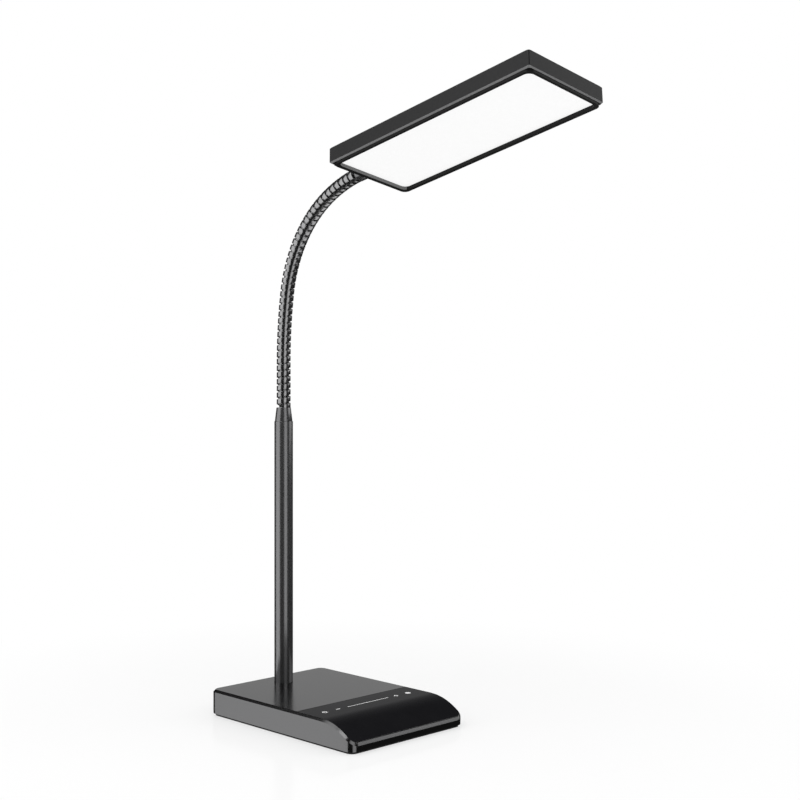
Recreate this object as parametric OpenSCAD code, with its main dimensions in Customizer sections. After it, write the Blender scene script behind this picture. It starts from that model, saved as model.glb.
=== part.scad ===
// Desk lamp with a flat light panel on a wound gooseneck.
// Millimetres, Z up. The base's front and the head point toward minus Y.
// The origin is the middle of the base's underside.

/* [Base] */
// Width of the base, left to right
base_w = 124.8; // [112:0.2:136]
// Depth of the base, front to rear
base_d = 176.2; // [166:0.2:190]
// Height of the base above the table
base_h = 21.7; // [21:0.1:26]
// Radius of the base's upright corners
base_corner = 7.5; // [5:0.5:9]
// Bevel along the top edge at the sides and the rear
base_bevel = 1.3; // [0.8:0.1:1.8]
// How far that bevel reaches in at the front
front_bevel = 0.9; // [0.6:0.1:1.4]
// Thickness of the cover's side walls
base_wall = 2.4; // [2:0.1:3]
// Height of the low lip at the front
front_lip = 7.8; // [7:0.1:10]
// Distance from the middle to where the top starts to curve down
curve_start = 50; // [44:0.5:56]
// Thickness of the anti-slip pad
pad_t = 1.5; // [1:0.1:2]
// How far the pad stays inside the base's outline
pad_inset = 2; // [1:0.1:3]
// Thickness of the steel base plate
plate_t = 1.6; // [1.2:0.1:2]
// Room above the control board for its parts and the lead
board_room = 3.2; // [3:0.1:4]
// Height of the front ballast block
front_ballast_h = 7.5; // [5:0.5:8]
// Width of both ballast blocks
ballast_w = 94; // [80:1:96]

/* [Touch panel] */
// Distance from the middle to the lens's rear seam
lens_rear = 22.2; // [20:0.1:28]
// Thickness of the lens
lens_t = 1.6; // [1.2:0.1:2]
// Flat of the cover between its bevel and the lens
rim_flat = 0.3; // [0.2:0.1:1]
// Width of the ledge that the lens lies on
ledge_w = 3; // [2:0.1:4]
// Thickness of that ledge
ledge_t = 1.8; // [1.2:0.1:2]
// Thickness of the touch board
touch_board_t = 1.2; // [0.8:0.1:1.6]

/* [Electronics] */
// Width of the control board
board_w = 62; // [50:1:80]
// Depth of the control board
board_d = 36; // [34:1:44]
// Thickness of the control board
board_t = 1.2; // [1:0.1:1.6]
// Distance of the jack from the base's left side
jack_side = 23.5; // [20:0.5:27]
// Bore of the jack
jack_bore = 5.5; // [5:0.1:6.5]
// Diameter of the jack's centre pin
jack_pin_d = 2.1; // [1.6:0.1:2.5]
// Diameter of the lead in the pole
lead_d = 2.4; // [2:0.1:2.4]

/* [Pole] */
// Diameter of the pole
pole_d = 16; // [14:0.5:18]
// Wall of the pole
pole_wall = 1.5; // [1:0.1:2]
// Distance of the pole's axis from the base's rear edge
pole_rear = 21.9; // [20:0.1:24]
// Height of the pole's upper end
pole_top = 246.3; // [200:1:300]
// Height of the tapered ferrule above the pole
ferrule_h = 11.7; // [9:0.1:15]
// Diameter of the ferrule's lower end
ferrule_low_d = 15.2; // [13:0.1:16]
// Diameter of the ferrule's upper end
ferrule_top_d = 12.4; // [12:0.1:14]
// Diameter of the flange that holds the pole
flange_d = 34; // [32:0.5:35]

/* [Gooseneck] */
// Outer diameter of the winding
neck_d = 12; // [11:0.5:13]
// Rise of the winding in one turn
neck_pitch = 5.8; // [5.6:0.1:6.2]
// Width of the wound band
band_w = 4.05; // [3.8:0.05:4.2]
// Width of the flat on the band's outside
band_flat = 3.1; // [2.6:0.1:3.4]
// Thickness of the band
band_t = 1.9; // [1.6:0.1:2]
// Depth of the bevels on the band's outside
band_bevel = 0.7; // [0.4:0.1:0.9]
// Diameter of the core inside the winding
core_d = 6.2; // [5:0.1:6.4]
// Links that bend against each other
neck_links = 13; // [11:1:15]
// Turns in each link
link_turns = 3; // [2:1:4]
// Upright run above the ferrule
first_run = 38.7; // [30:0.1:50]
// Length of the first, gentle bend
first_bend_run = 60; // [50:1:70]
// Turn of the first bend, in degrees
first_bend = 9; // [5:1:12]
// Length of the second, tighter bend
second_bend_run = 100; // [90:1:120]
// Turn of the second bend, in degrees
second_bend = 52; // [45:1:56]
// Length of the third bend
third_bend_run = 40; // [36:1:48]
// Turn of the third bend, in degrees
third_bend = 17; // [12:1:20]
// Diameter of the plain collar at the head
collar_d = 12.4; // [11:0.1:14]
// Length of that collar
collar_len = 15; // [12:0.5:20]

/* [Head] */
// Length of the head
head_len = 208.9; // [190:0.1:225]
// Width of the head
head_w = 80.5; // [74:0.5:90]
// Thickness of the head
head_t = 15.6; // [15:0.1:18]
// Radius of the head's upright corners
head_corner = 2.5; // [2:0.1:4]
// Bevel along the edge of the head's back
head_bevel = 0.8; // [0.5:0.1:1.2]
// Bevel along the edge of the head's face
face_bevel = 1.2; // [0.8:0.1:1.4]
// Radius of the corners of that face
face_corner = 5; // [4:0.5:7]
// Wall of the head's housing
head_wall = 1.8; // [1.6:0.1:2.2]
// Roll of the head about the neck's end, in degrees
head_roll = 11; // [0:1:20]
// Width of the bezel
bezel_w = 2.25; // [1.8:0.05:3]
// Radius of the corners of its opening
opening_corner = 5; // [3:0.5:7]
// Depth of the lit sheet behind the head's face
face_recess = 2.4; // [2:0.1:2.6]
// Thickness of the diffuser
diffuser_t = 1; // [0.8:0.1:1.2]
// Thickness of the light guide
guide_t = 1.5; // [1.2:0.1:1.8]
// Thickness of the reflector sheet
reflector_t = 0.3; // [0.2:0.05:0.4]
// Thickness of the back plate
back_plate_t = 1; // [0.8:0.1:1.2]
// Height of the neck's axis above the middle of the head
neck_above = 1.1; // [1:0.1:1.6]
// LED chips on each strip
chips = 24; // [12:1:30]

/* [Clearances] */
// Gap round a part that is let into another
fit_gap = 0.15; // [0.1:0.05:0.25]
// Gap between faces that lie on each other
seat_gap = 0.05; // [0.02:0.01:0.1]
// Radial gap round a screw or a stud
bore_gap = 0.05; // [0.03:0.01:0.1]
// Gap between the cores of two links
core_gap = 0.3; // [0.2:0.05:0.4]
// Gap between the winding and the plain pieces at its ends
winding_gap = 0.6; // [0.4:0.1:1]
// Gap between blocks that stand beside each other in the base
block_gap = 2; // [1:0.5:3]

/* [Hidden] */
// Thin slab used by the rounded blocks
skin = 0.02;
// Size that is larger than any part it cuts
far = 300;
// Fineness of large and of small rounds
fine = 96;
small = 32;

base_front = -base_d / 2;
base_rear = base_d / 2;
plate_z = pad_t;
floor_z = pad_t + plate_t;
front_run = -curve_start - base_front;
front_drop = base_h - front_lip;
front_r = (front_run * front_run + front_drop * front_drop) / (2 * front_drop);
foot_bevel = 1.2;
foot_bevel_h = 3.4;

lens_sink = 0.1;
lens_depth = lens_sink + lens_t + seat_gap;
lens_w = base_w - 2 * (base_bevel + rim_flat);
lens_front = base_front + front_bevel + rim_flat;
lens_d = -lens_rear - lens_front;
lens_corner = base_corner - base_bevel - rim_flat;
top_wall = lens_depth + ledge_t;

screw_d = 3;
screw_head_d = 5.6;
boss_d = 6;
boss_bite = 0.6;
boss_x = base_w / 2 - base_wall - boss_d / 2 + boss_bite;
boss_from_front = 14;
boss_from_rear = 11;
boss_ys = [base_front + boss_from_front, 0, base_rear - boss_from_rear];
boss_screw_len = 7;

ballast_split = 20;
ballast_from_front = 20;
rear_ballast_front = -ballast_split;
rear_ballast_h = base_h - top_wall - board_room - board_t - seat_gap - floor_z;
pole_y = base_rear - pole_rear;
rear_ballast_rear = pole_y - flange_d / 2 - block_gap;
front_ballast_front = base_front + ballast_from_front;
front_ballast_rear = rear_ballast_front - block_gap;
ballast_screw_d = 4;
ballast_screw_head_d = 7;
ballast_screw_len = 6;
ballast_screw_x = 30;
rear_ballast_mid = (rear_ballast_front + rear_ballast_rear) / 2;
front_ballast_mid = (front_ballast_front + front_ballast_rear) / 2;

board_z = floor_z + rear_ballast_h + seat_gap;
board_top = board_z + board_t;
board_margin = 1;
board_rear = rear_ballast_rear - board_margin;
board_mid = board_rear - board_d / 2;
part_gap = 1.2;
part_h = board_room - part_gap;
chip_h = 1;
chip_size = 7;
coil_size = 6;
connector_w = 8;
connector_d = 5;

jack_w = 9;
jack_len = 12;
jack_h = 11;
jack_collar_d = 8;
jack_x = base_w / 2 - jack_side;
jack_z = floor_z + seat_gap + jack_h / 2;
jack_depth = 9;
jack_sink = 0.4;
jack_pin_sink = 1;
jack_face = base_rear - jack_sink;
jack_inner = base_rear - base_wall - fit_gap;

flange_t = 3;
flange_boss_wall = 3;
flange_boss_d = pole_d + 2 * flange_boss_wall;
flange_boss_h = 10;
flange_screws = 3;
flange_screw_r = (flange_boss_d + flange_d) / 4;
lead_z = board_top + lead_d / 2 + seat_gap;
lead_end = board_rear - connector_d;
lead_hole_gap = 0.6;
lead_hole_d = lead_d + 2 * lead_hole_gap;
spigot_len = 12;
stud_d = 5.8;
stud_len = 16;
neck_z = pole_top + ferrule_h;

bends = [
    [first_run, 0],
    [first_bend_run, first_bend],
    [second_bend_run, second_bend],
    [third_bend_run, third_bend],
    [far, 0]
];
rings_per_turn = 12;
turn_lead = band_w / 2 + winding_gap;
link_len = link_turns * neck_pitch;
winding_len = neck_links * link_len;
collar_from = turn_lead + winding_len + turn_lead;
neck_len = collar_from + collar_len;
// Share of a turn left open between the band ends of two links
turn_gap = 0.024;
neck_r = neck_d / 2;
band = [
    [-band_flat / 2, neck_r],
    [band_flat / 2, neck_r],
    [band_w / 2, neck_r - band_bevel],
    [band_w / 2, neck_r - band_t],
    [-band_w / 2, neck_r - band_t],
    [-band_w / 2, neck_r - band_bevel]
];

face_z = -head_t / 2;
back_z = head_t / 2;
tray_w = head_w - 2 * head_wall;
tray_len = head_len - 2 * head_wall;
tray_corner = face_corner - head_wall + face_bevel;
tray_top = back_z - head_wall;
bezel_sink = 0.2;
diffuser_z = face_z + face_recess + seat_gap;
guide_z = diffuser_z + diffuser_t + seat_gap;
reflector_z = guide_z + guide_t + seat_gap;
back_plate_z = reflector_z + reflector_t + seat_gap;
post_z = back_plate_z + back_plate_t;
strip_t = 1;
chip_t = 0.75;
chip_len = 2.8;
strip_out = tray_w / 2 - seat_gap;
strip_in = strip_out - strip_t;
guide_w = 2 * (strip_in - seat_gap - chip_t - seat_gap);
guide_margin = 1;
guide_len = tray_len - 2 * guide_margin;
strip_margin = 6;
strip_len = tray_len - 2 * strip_margin;
post_d = 6;
post_from_side = 8;
post_from_rear = 46;
post_from_end = 24;
post_x = tray_w / 2 - post_from_side;
post_mid = -(head_len + post_from_rear - post_from_end) / 2;
post_ys = [-post_from_rear, post_mid, -head_len + post_from_end];
post_screw_d = 2.5;
post_screw_head_d = 4.4;
post_screw_len = 5;
clamp_w = 26;
clamp_len = 13;
clamp_from_wall = 5;
clamp_y = -head_wall - clamp_from_wall;
clamp_screw_x = 9.5;
clamp_screw_bite = 1;
clamp_z = reflector_z + reflector_t + 2 * seat_gap;
connector_box_w = 10;
connector_box_len = 9;
head_gap = 2;
stud_in = -clamp_y + clamp_len + head_gap;
back_plate_rear = -stud_in - connector_box_len - head_gap;
flex_w = 7;
flex_t = 0.2;
flex_y = -stud_in - (connector_box_len - flex_w) / 2;

function two_digits(n) = n < 10 ? str("0", n) : str(n);
function turns_name(link) = str("neck_turns_", two_digits(link));
function core_name(link) = str("neck_core_", two_digits(link));

// Place along the neck: distance behind the pole, height above the ferrule and lean
function neck_path(s, i = 0, y = 0, z = 0, lean = 0) =
    let (run = bends[i][0])
    let (part = min(s, run))
    let (rate = bends[i][1] / run)
    let (end = lean + rate * part)
    let (turn = rate * PI / 180)
    let (dy = rate == 0 ? -sin(lean) * part : (cos(end) - cos(lean)) / turn)
    let (dz = rate == 0 ? cos(lean) * part : (sin(end) - sin(lean)) / turn)
    s <= run || i == len(bends) - 1
        ? [y + dy, z + dz, end]
        : neck_path(s - run, i + 1, y + dy, z + dz, end);

// Point at a radius and an angle round the neck's axis
function neck_point(s, r, angle) =
    let (at = neck_path(s))
    let (out = r * sin(angle))
    [r * cos(angle), pole_y + at[0] + out * cos(at[2]), neck_z + at[1] + out * sin(at[2])];

// Ring of the band's corners after a number of turns
function band_ring(turns) =
    [for (corner = band) neck_point(turn_lead + turns * neck_pitch + corner[0], corner[1], 360 * turns)];

// Least distance between the band and its next turn, on the points of both
function turn_distance(from, to) = min([
    for (step = [0:(to - from - 1) * rings_per_turn])
        let (here = band_ring(from + step / rings_per_turn))
        let (above = band_ring(from + 1 + step / rings_per_turn))
        min([for (a = here, b = above) norm(a - b)])
]);

function link_start(link) = turn_lead + (link - 1) * link_len;
neck_end = neck_path(neck_len);

// Rectangle with round corners
module rounded_plan(w, d, r) {
    square([w - 2 * r, d], center = true);
    square([w, d - 2 * r], center = true);
    for (x = [-1, 1], y = [-1, 1])
        translate([x * (w / 2 - r), y * (d / 2 - r)])
            circle(r = r, $fn = small);
}

// Base outline, drawn in by a margin
module base_plan(margin) {
    rounded_plan(base_w - 2 * margin, base_d - 2 * margin, base_corner - margin);
}

// Solid below the base's top surface, lowered by a depth
module below_top(depth) {
    translate([-far / 2, -curve_start, -far / 2])
        cube([far, far, far / 2 + base_h - depth]);
    intersection() {
        translate([0, -curve_start, base_h - front_r])
            rotate([0, 90, 0])
                cylinder(r = front_r - depth, h = far, center = true, $fn = fine);
        translate([-far / 2, -curve_start - far, -far / 2])
            cube(far);
    }
}

// Outer form of the base with its bevelled foot and top edge
module base_block() {
    rim_d = base_d - base_bevel - front_bevel;
    hull() {
        translate([0, 0, plate_z])
            linear_extrude(skin)
                base_plan(foot_bevel);
        intersection() {
            translate([0, 0, plate_z + foot_bevel_h])
                linear_extrude(base_h)
                    base_plan(0);
            below_top(base_bevel);
        }
        intersection() {
            translate([0, (front_bevel - base_bevel) / 2, plate_z + foot_bevel_h])
                linear_extrude(base_h)
                    rounded_plan(base_w - 2 * base_bevel, rim_d, base_corner - base_bevel);
            below_top(0);
        }
    }
}

// Outline of the lens, grown or drawn in by a margin
module lens_plan(margin) {
    w = lens_w - 2 * margin;
    d = lens_d - 2 * margin;
    r = lens_corner - margin;
    translate([0, lens_front + margin]) {
        translate([-w / 2, r])
            square([w, d - r]);
        translate([r - w / 2, 0])
            square([w - 2 * r, d]);
        for (side = [-1, 1])
            translate([side * (w / 2 - r), r])
                circle(r = r, $fn = small);
    }
}

// Countersunk screw that points up, with its head on the lower face of a plate
module countersunk(d, head_d, head_h, length, gap = 0) {
    cylinder(d1 = head_d + 2 * gap, d2 = d + 2 * gap, h = head_h, $fn = small);
    cylinder(d = d + 2 * gap, h = length, $fn = small);
}

module at_base_screws() {
    for (x = [-boss_x, boss_x], y = boss_ys)
        translate([x, y, plate_z])
            children();
}

module at_ballast_screws() {
    for (x = [-1, 1], y = [rear_ballast_mid, front_ballast_mid])
        translate([x * ballast_screw_x, y, plate_z])
            children();
}

module at_flange_screws() {
    for (i = [0:flange_screws - 1])
        translate([0, pole_y, plate_z])
            rotate([0, 0, 90 + i * 360 / flange_screws])
                translate([flange_screw_r, 0, 0])
                    children();
}

module base_screw(gap = 0) {
    countersunk(screw_d, screw_head_d, plate_t, boss_screw_len, gap);
}

module ballast_screw(gap = 0) {
    countersunk(ballast_screw_d, ballast_screw_head_d, plate_t, ballast_screw_len, gap);
}

module flange_screw(gap = 0) {
    countersunk(screw_d, screw_head_d, plate_t, plate_t + flange_t, gap);
}

module base_pad() {
    color("#161616")
        linear_extrude(pad_t)
            base_plan(pad_inset);
}

module base_plate() {
    color("#55585c")
        difference() {
            translate([0, 0, plate_z])
                linear_extrude(plate_t)
                    base_plan(base_wall + fit_gap);
            at_base_screws()
                base_screw(bore_gap);
            at_ballast_screws()
                ballast_screw(bore_gap);
            at_flange_screws()
                flange_screw(bore_gap);
        }
}

module base_cover() {
    color("#4a4a4c")
        difference() {
            base_block();
            difference() {
                union() {
                    intersection() {
                        linear_extrude(far)
                            base_plan(base_wall);
                        below_top(top_wall);
                    }
                    linear_extrude(far)
                        lens_plan(ledge_w);
                }
                at_base_screws()
                    translate([0, 0, plate_t])
                        cylinder(d = boss_d, h = base_h, $fn = small);
            }
            difference() {
                linear_extrude(far)
                    lens_plan(-fit_gap);
                below_top(lens_depth);
            }
            translate([0, pole_y, 0])
                cylinder(d = pole_d + 2 * fit_gap, h = far, $fn = fine);
            translate([-jack_x, base_rear - base_wall - skin, jack_z])
                rotate([-90, 0, 0])
                    cylinder(d = jack_collar_d + 2 * fit_gap, h = far, $fn = small);
            at_base_screws()
                base_screw(bore_gap);
        }
}

module base_screws() {
    color("#8a8d90")
        at_base_screws()
            base_screw();
}

module touch_panel() {
    color("#0c0c0d")
        intersection() {
            linear_extrude(far)
                lens_plan(0);
            difference() {
                below_top(lens_sink);
                below_top(lens_sink + lens_t);
            }
        }
}

module touch_board() {
    board_front = -curve_start;
    board_back = -lens_rear - ledge_w - fit_gap;
    board_x = lens_w / 2 - ledge_w - fit_gap;
    color("#1f5a35")
        translate([-board_x, board_front, base_h - lens_depth - touch_board_t])
            cube([2 * board_x, board_back - board_front, touch_board_t]);
}

module control_board() {
    color("#1f5a35")
        translate([-board_w / 2, board_rear - board_d, board_z])
            cube([board_w, board_d, board_t]);
}

// Controller, coil, two switching chips and the lead's connector
module board_parts() {
    color("#232326") {
        translate([-chip_size / 2, board_mid - chip_size, board_top])
            cube([chip_size, chip_size, chip_h]);
        translate([board_w / 4, board_mid, board_top])
            cylinder(d = coil_size, h = part_h, $fn = small);
        for (x = [-board_w / 3, -board_w / 5])
            translate([x, board_mid - chip_size / 2, board_top])
                cube([chip_size / 2, chip_size, chip_h]);
        translate([-connector_w / 2, board_rear - connector_d - connector_d, board_top])
            cube([connector_w, connector_d, part_h]);
    }
}

module dc_jack() {
    color("#18181a")
        difference() {
            union() {
                translate([-jack_x - jack_w / 2, jack_inner - jack_len, jack_z - jack_h / 2])
                    cube([jack_w, jack_len, jack_h]);
                translate([-jack_x, jack_inner - skin, jack_z])
                    rotate([-90, 0, 0])
                        cylinder(d = jack_collar_d, h = jack_face - jack_inner + skin, $fn = small);
            }
            translate([-jack_x, jack_face - jack_depth, jack_z])
                rotate([-90, 0, 0])
                    cylinder(d = jack_bore, h = far, $fn = small);
        }
}

module jack_pin() {
    color("#b9babd")
        translate([-jack_x, jack_face - jack_depth, jack_z])
            rotate([-90, 0, 0])
                cylinder(d = jack_pin_d, h = jack_depth - jack_pin_sink, $fn = small);
}

module ballast(front, rear, height) {
    difference() {
        translate([-ballast_w / 2, front, floor_z])
            cube([ballast_w, rear - front, height]);
        at_ballast_screws()
            ballast_screw(bore_gap);
    }
}

module rear_ballast() {
    color("#3c3d40")
        ballast(rear_ballast_front, rear_ballast_rear, rear_ballast_h);
}

module front_ballast() {
    color("#3c3d40")
        ballast(front_ballast_front, front_ballast_rear, front_ballast_h);
}

module ballast_screws() {
    color("#8a8d90")
        at_ballast_screws()
            ballast_screw();
}

module pole_flange() {
    color("#5d6064")
        difference() {
            translate([0, pole_y, floor_z])
                union() {
                    cylinder(d = flange_d, h = flange_t, $fn = fine);
                    cylinder(d = flange_boss_d, h = flange_boss_h, $fn = fine);
                }
            translate([0, pole_y, 0])
                cylinder(d = pole_d + 2 * bore_gap, h = far, $fn = fine);
            at_flange_screws()
                flange_screw(bore_gap);
        }
}

module flange_screws() {
    color("#8a8d90")
        at_flange_screws()
            flange_screw();
}

module pole() {
    color("#1b1b1d")
        difference() {
            translate([0, pole_y, floor_z])
                cylinder(d = pole_d, h = pole_top - floor_z, $fn = fine);
            translate([0, pole_y, floor_z - skin])
                cylinder(d = pole_d - 2 * pole_wall, h = far, $fn = fine);
            translate([0, pole_y, lead_z])
                rotate([90, 0, 0])
                    cylinder(d = lead_hole_d, h = pole_d, $fn = small);
        }
}

module neck_ferrule() {
    spigot_d = pole_d - 2 * pole_wall - 2 * bore_gap;
    color("#202022")
        difference() {
            translate([0, pole_y, pole_top])
                union() {
                    cylinder(d1 = ferrule_low_d, d2 = ferrule_top_d, h = ferrule_h, $fn = fine);
                    translate([0, 0, -spigot_len])
                        cylinder(d = spigot_d, h = spigot_len + skin, $fn = fine);
                }
            translate([0, pole_y, pole_top - spigot_len - skin])
                cylinder(d = stud_d + 2 * bore_gap, h = far, $fn = small);
        }
}

module lower_stud() {
    color("#5d6064")
        translate([0, pole_y, neck_z - stud_len])
            difference() {
                cylinder(d = stud_d, h = stud_len, $fn = small);
                translate([0, 0, -skin])
                    cylinder(d = lead_d + 2 * bore_gap, h = far, $fn = small);
            }
}

module pole_lead() {
    color("#121212") {
        translate([0, pole_y, lead_z])
            cylinder(d = lead_d, h = neck_z - lead_z, $fn = small);
        translate([0, pole_y, lead_z])
            sphere(d = lead_d, $fn = small);
        translate([0, pole_y, lead_z])
            rotate([90, 0, 0])
                cylinder(d = lead_d, h = pole_y - lead_end, $fn = small);
    }
}

// Wound band of one link, swept through the rings of its turns
module neck_turns(link) {
    first = (link - 1) * link_turns + turn_gap / 2;
    steps = link_turns * rings_per_turn;
    turns = link_turns - turn_gap;
    sides = len(band);
    rings = [for (i = [0:steps]) band_ring(first + turns * i / steps)];
    walls = [
        for (i = [0:steps - 1], j = [0:sides - 1])
            let (a = i * sides + j)
            let (b = i * sides + (j + 1) % sides)
            each [[a, b, a + sides], [b, b + sides, a + sides]]
    ];
    low_end = [for (j = [1:sides - 2]) [0, j + 1, j]];
    top = steps * sides;
    high_end = [for (j = [1:sides - 2]) [top, top + j, top + j + 1]];
    color("#2c2c2e")
        polyhedron([for (ring = rings) each ring], concat(walls, low_end, high_end));
}

// Core of one link, with round ends that let the next one lean
module neck_core(link) {
    low = neck_point(link_start(link) + core_gap / 2, 0, 0);
    high = neck_point(link_start(link + 1) - core_gap / 2, 0, 0);
    reach = high - low;
    length = norm(reach) - core_d;
    lean = atan2(-reach[1], reach[2]);
    color("#0f0f10")
        translate(low)
            rotate([lean, 0, 0])
                translate([0, 0, core_d / 2]) {
                    cylinder(d = core_d, h = length, $fn = small);
                    sphere(d = core_d, $fn = small);
                    translate([0, 0, length])
                        sphere(d = core_d, $fn = small);
                }
}

// Head's frame: rear end at the origin, free end toward minus Y, lit face down
module on_head() {
    translate([0, pole_y + neck_end[0], neck_z + neck_end[1]])
        rotate([neck_end[2] - 90, 0, 0])
            rotate([0, head_roll, 0])
                translate([0, 0, -neck_above])
                    children();
}

// Flat sheet in the head, centred on its length
module head_sheet(w, length, r, z, t) {
    translate([0, -head_len / 2, z])
        linear_extrude(t)
            rounded_plan(w, length, r);
}

module at_posts() {
    for (x = [-post_x, post_x], y = post_ys)
        translate([x, y, back_plate_z])
            children();
}

module post_screw(gap = 0) {
    countersunk(post_screw_d, post_screw_head_d, back_plate_t, post_screw_len, gap);
}

module at_clamp_screws() {
    for (x = [-clamp_screw_x, clamp_screw_x])
        translate([x, clamp_y - clamp_len / 2, clamp_z])
            children();
}

module clamp_screw(gap = 0) {
    length = tray_top + clamp_screw_bite - clamp_z;
    countersunk(post_screw_d, post_screw_head_d, back_plate_t, length, gap);
}

module neck_collar() {
    color("#1b1b1d")
        on_head()
            translate([0, 0, neck_above])
                rotate([90, 0, 0]) {
                    translate([0, 0, -collar_len])
                        cylinder(d = collar_d, h = collar_len, $fn = fine);
                    translate([0, 0, -skin])
                        cylinder(d = stud_d, h = stud_in + skin, $fn = small);
                }
}

module neck_clamp() {
    color("#6b6e72")
        on_head()
            difference() {
                translate([-clamp_w / 2, clamp_y - clamp_len, clamp_z])
                    cube([clamp_w, clamp_len, tray_top - seat_gap - clamp_z]);
                translate([0, 0, neck_above])
                    rotate([90, 0, 0])
                        cylinder(d = stud_d + 2 * bore_gap, h = far, $fn = small);
                at_clamp_screws()
                    clamp_screw(bore_gap);
            }
}

module clamp_screws() {
    color("#8a8d90")
        on_head()
            at_clamp_screws()
                clamp_screw();
}

module lead_connector() {
    room = tray_top - flex_t - seat_gap - clamp_z;
    color("#e6e2d4")
        on_head()
            translate([-connector_box_w / 2, -stud_in - seat_gap - connector_box_len, clamp_z])
                cube([connector_box_w, connector_box_len, room]);
}

// Flat leads that run along the tray's back and down its sides to the strips
module head_flex() {
    drop = tray_top - reflector_z - reflector_t;
    color("#b5762c")
        on_head()
            for (side = [0, 1])
                mirror([side, 0, 0])
                    translate([0, flex_y - flex_w, tray_top - flex_t]) {
                        cube([tray_w / 2, flex_w, flex_t]);
                        translate([tray_w / 2 - flex_t, 0, flex_t - drop])
                            cube([flex_t, flex_w, drop]);
                    }
}

module head_housing() {
    color("#363637")
        on_head()
            difference() {
                translate([0, -head_len / 2, 0])
                    hull() {
                        translate([0, 0, face_z + face_bevel])
                            linear_extrude(head_t - face_bevel - head_bevel)
                                rounded_plan(head_w, head_len, head_corner);
                        translate([0, 0, face_z])
                            linear_extrude(skin)
                                rounded_plan(
                                    head_w - 2 * face_bevel,
                                    head_len - 2 * face_bevel,
                                    face_corner
                                );
                        translate([0, 0, back_z - skin])
                            linear_extrude(skin)
                                rounded_plan(
                                    head_w - 2 * head_bevel,
                                    head_len - 2 * head_bevel,
                                    head_corner - head_bevel
                                );
                    }
                difference() {
                    head_sheet(tray_w, tray_len, tray_corner, face_z - skin, tray_top - face_z + skin);
                    at_posts()
                        translate([0, 0, back_plate_t])
                            cylinder(d = post_d, h = head_t, $fn = small);
                }
                at_posts()
                    post_screw(bore_gap);
                at_clamp_screws()
                    clamp_screw(bore_gap);
                translate([0, skin, neck_above])
                    rotate([90, 0, 0])
                        cylinder(d = stud_d + 2 * bore_gap, h = 2 * head_wall, $fn = small);
            }
}

module head_bezel() {
    outer_w = tray_w - 2 * fit_gap;
    outer_len = tray_len - 2 * fit_gap;
    color("#0e0e0f")
        on_head()
            difference() {
                head_sheet(outer_w, outer_len, tray_corner, face_z + bezel_sink, face_recess - bezel_sink);
                head_sheet(
                    outer_w - 2 * bezel_w,
                    outer_len - 2 * bezel_w,
                    opening_corner,
                    face_z - skin,
                    head_t
                );
            }
}

module diffuser() {
    color("#fafafa")
        on_head()
            head_sheet(tray_w - 2 * fit_gap, tray_len - 2 * fit_gap, tray_corner, diffuser_z, diffuser_t);
}

module light_guide() {
    color("#dfe6ea")
        on_head()
            head_sheet(guide_w, guide_len, tray_corner, guide_z, guide_t);
}

module reflector_sheet() {
    color("#f2f2f2")
        on_head()
            head_sheet(guide_w, guide_len, tray_corner, reflector_z, reflector_t);
}

module back_plate() {
    plate_front = -head_len + head_wall + guide_margin;
    plate_w = guide_w;
    color("#b4b7ba")
        on_head()
            difference() {
                translate([-plate_w / 2, plate_front, back_plate_z])
                    cube([plate_w, back_plate_rear - plate_front, back_plate_t]);
                at_posts()
                    post_screw(bore_gap);
            }
}

module plate_screws() {
    color("#8a8d90")
        on_head()
            at_posts()
                post_screw();
}

module led_strips() {
    color("#e9e9e4")
        on_head()
            for (side = [0, 1])
                mirror([side, 0, 0])
                    translate([strip_in, -(head_len + strip_len) / 2, guide_z])
                        cube([strip_t, strip_len, guide_t + seat_gap + reflector_t]);
}

module led_chips() {
    step = strip_len / chips;
    color("#f4d35e")
        on_head()
            for (side = [0, 1], i = [0:chips - 1])
                mirror([side, 0, 0])
                    translate([
                        strip_in - seat_gap - chip_t,
                        -(head_len + strip_len - step + chip_len) / 2 + i * step,
                        guide_z
                    ])
                        cube([chip_t, chip_len, guide_t]);
}

echo(least_gap_between_turns = turn_distance(0, neck_links * link_turns));

base_pad();
base_plate();
base_cover();
base_screws();
touch_panel();
touch_board();
control_board();
board_parts();
dc_jack();
jack_pin();
rear_ballast();
front_ballast();
ballast_screws();
pole_flange();
flange_screws();
pole();
neck_ferrule();
lower_stud();
pole_lead();
for (link = [1:neck_links])
    neck_turns(link);
for (link = [1:neck_links])
    neck_core(link);
neck_collar();
neck_clamp();
clamp_screws();
lead_connector();
head_flex();
head_housing();
head_bezel();
diffuser();
light_guide();
reflector_sheet();
back_plate();
plate_screws();
led_strips();
led_chips();
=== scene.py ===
import math

import bmesh
import bpy
from mathutils import Matrix, Vector


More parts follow.
